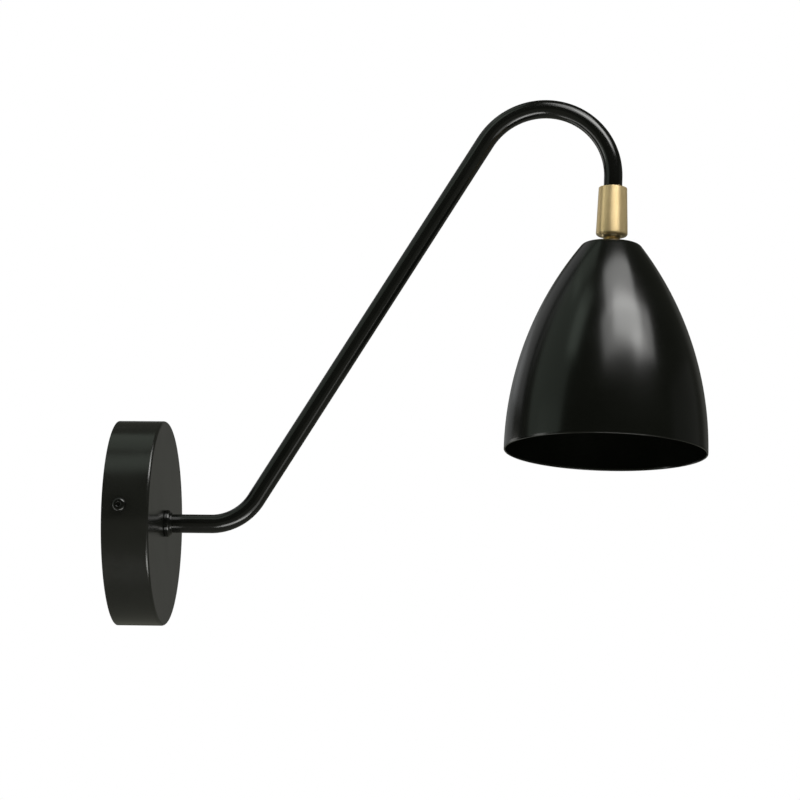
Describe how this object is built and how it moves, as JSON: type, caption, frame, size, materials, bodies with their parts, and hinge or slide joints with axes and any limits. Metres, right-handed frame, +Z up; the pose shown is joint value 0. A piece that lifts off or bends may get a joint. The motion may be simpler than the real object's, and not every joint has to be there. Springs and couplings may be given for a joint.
{
  "type": "wall sconce",
  "caption": "Wall sconce with a round canopy, a bent tube arm that hooks over, a brass ball swivel and a hanging bell shade.",
  "frame": {"origin": "middle of the wall bracket's screw pattern, on the wall plane", "axes": "+X away from the wall along the arm's first run, +Z up, arm in the XZ plane"},
  "size_m": [0.317, 0.1144, 0.2895],
  "materials": {
    "canopy_black": "satin black powder coat",
    "arm_black": "satin black enamel on steel tube",
    "shade_black": "semi-gloss black enamel, inside and out",
    "satin_brass": "satin brushed brass",
    "stem_brass": "turned brass",
    "terminal_brass": "plain turned brass",
    "brass_screw": "plain brass",
    "zinc_steel": "zinc plated",
    "spring_steel": "oiled spring steel",
    "tinned_copper": "tinned",
    "black_screw": "black finish",
    "nylon": "natural nylon",
    "bush_white": "moulded plastic",
    "bearing_plastic": "moulded acetal",
    "holder_black": "black heat-proof moulding",
    "lead_jacket": "round flexible jacket",
    "brown_core": "brown insulation",
    "blue_core": "blue insulation",
    "green_yellow_core": "green and yellow insulation"
  },
  "bodies": {
    "wall_arm": {"canopy": "canopy_black", "wall_bracket": "zinc_steel", "canopy_screws": "black_screw", "earth_screw": "brass_screw", "earth_tags": "tinned_copper", "terminal_block": "nylon", "terminal_inserts": "terminal_brass", "terminal_screws": "zinc_steel", "terminal_fixing_screw": "zinc_steel", "arm_tube": "arm_black", "arm_collar": "arm_black", "arm_tooth_washer": "zinc_steel", "arm_lock_nut": "zinc_steel", "cable_bush": "bush_white", "arm_lead": "lead_jacket", "live_wire": "brown_core", "neutral_wire": "blue_core", "earth_wire": "green_yellow_core", "swivel_sleeve": "satin_brass", "sleeve_plug": "satin_brass"},
    "swivel": {"ball_seat": "bearing_plastic", "spring_washers": "spring_steel"},
    "lamp_head": {"ball_stem": "stem_brass", "shade": "shade_black", "shade_washer": "zinc_steel", "shade_nut": "zinc_steel", "lampholder_cap": "holder_black", "lampholder_grub_screw": "zinc_steel", "lampholder_body": "holder_black", "socket_shell": "terminal_brass", "centre_contact": "terminal_brass", "lampholder_terminals": "terminal_brass", "lampholder_terminal_screws": "zinc_steel", "head_lead": "lead_jacket", "holder_live_wire": "brown_core", "holder_neutral_wire": "blue_core"}
  },
  "joints": [
    {"name": "head_turn", "type": "hinge", "parent": "wall_arm", "child": "swivel", "pos_m": [0.26227, 0, 0.16278], "axis": [0, 0, 1], "range_deg": [-170, 170]},
    {"name": "head_tilt", "type": "hinge", "parent": "swivel", "child": "lamp_head", "pos_m": [0.26227, 0, 0.16278], "axis": [0, 1, 0], "range_deg": [-20, 20]}
  ]
}
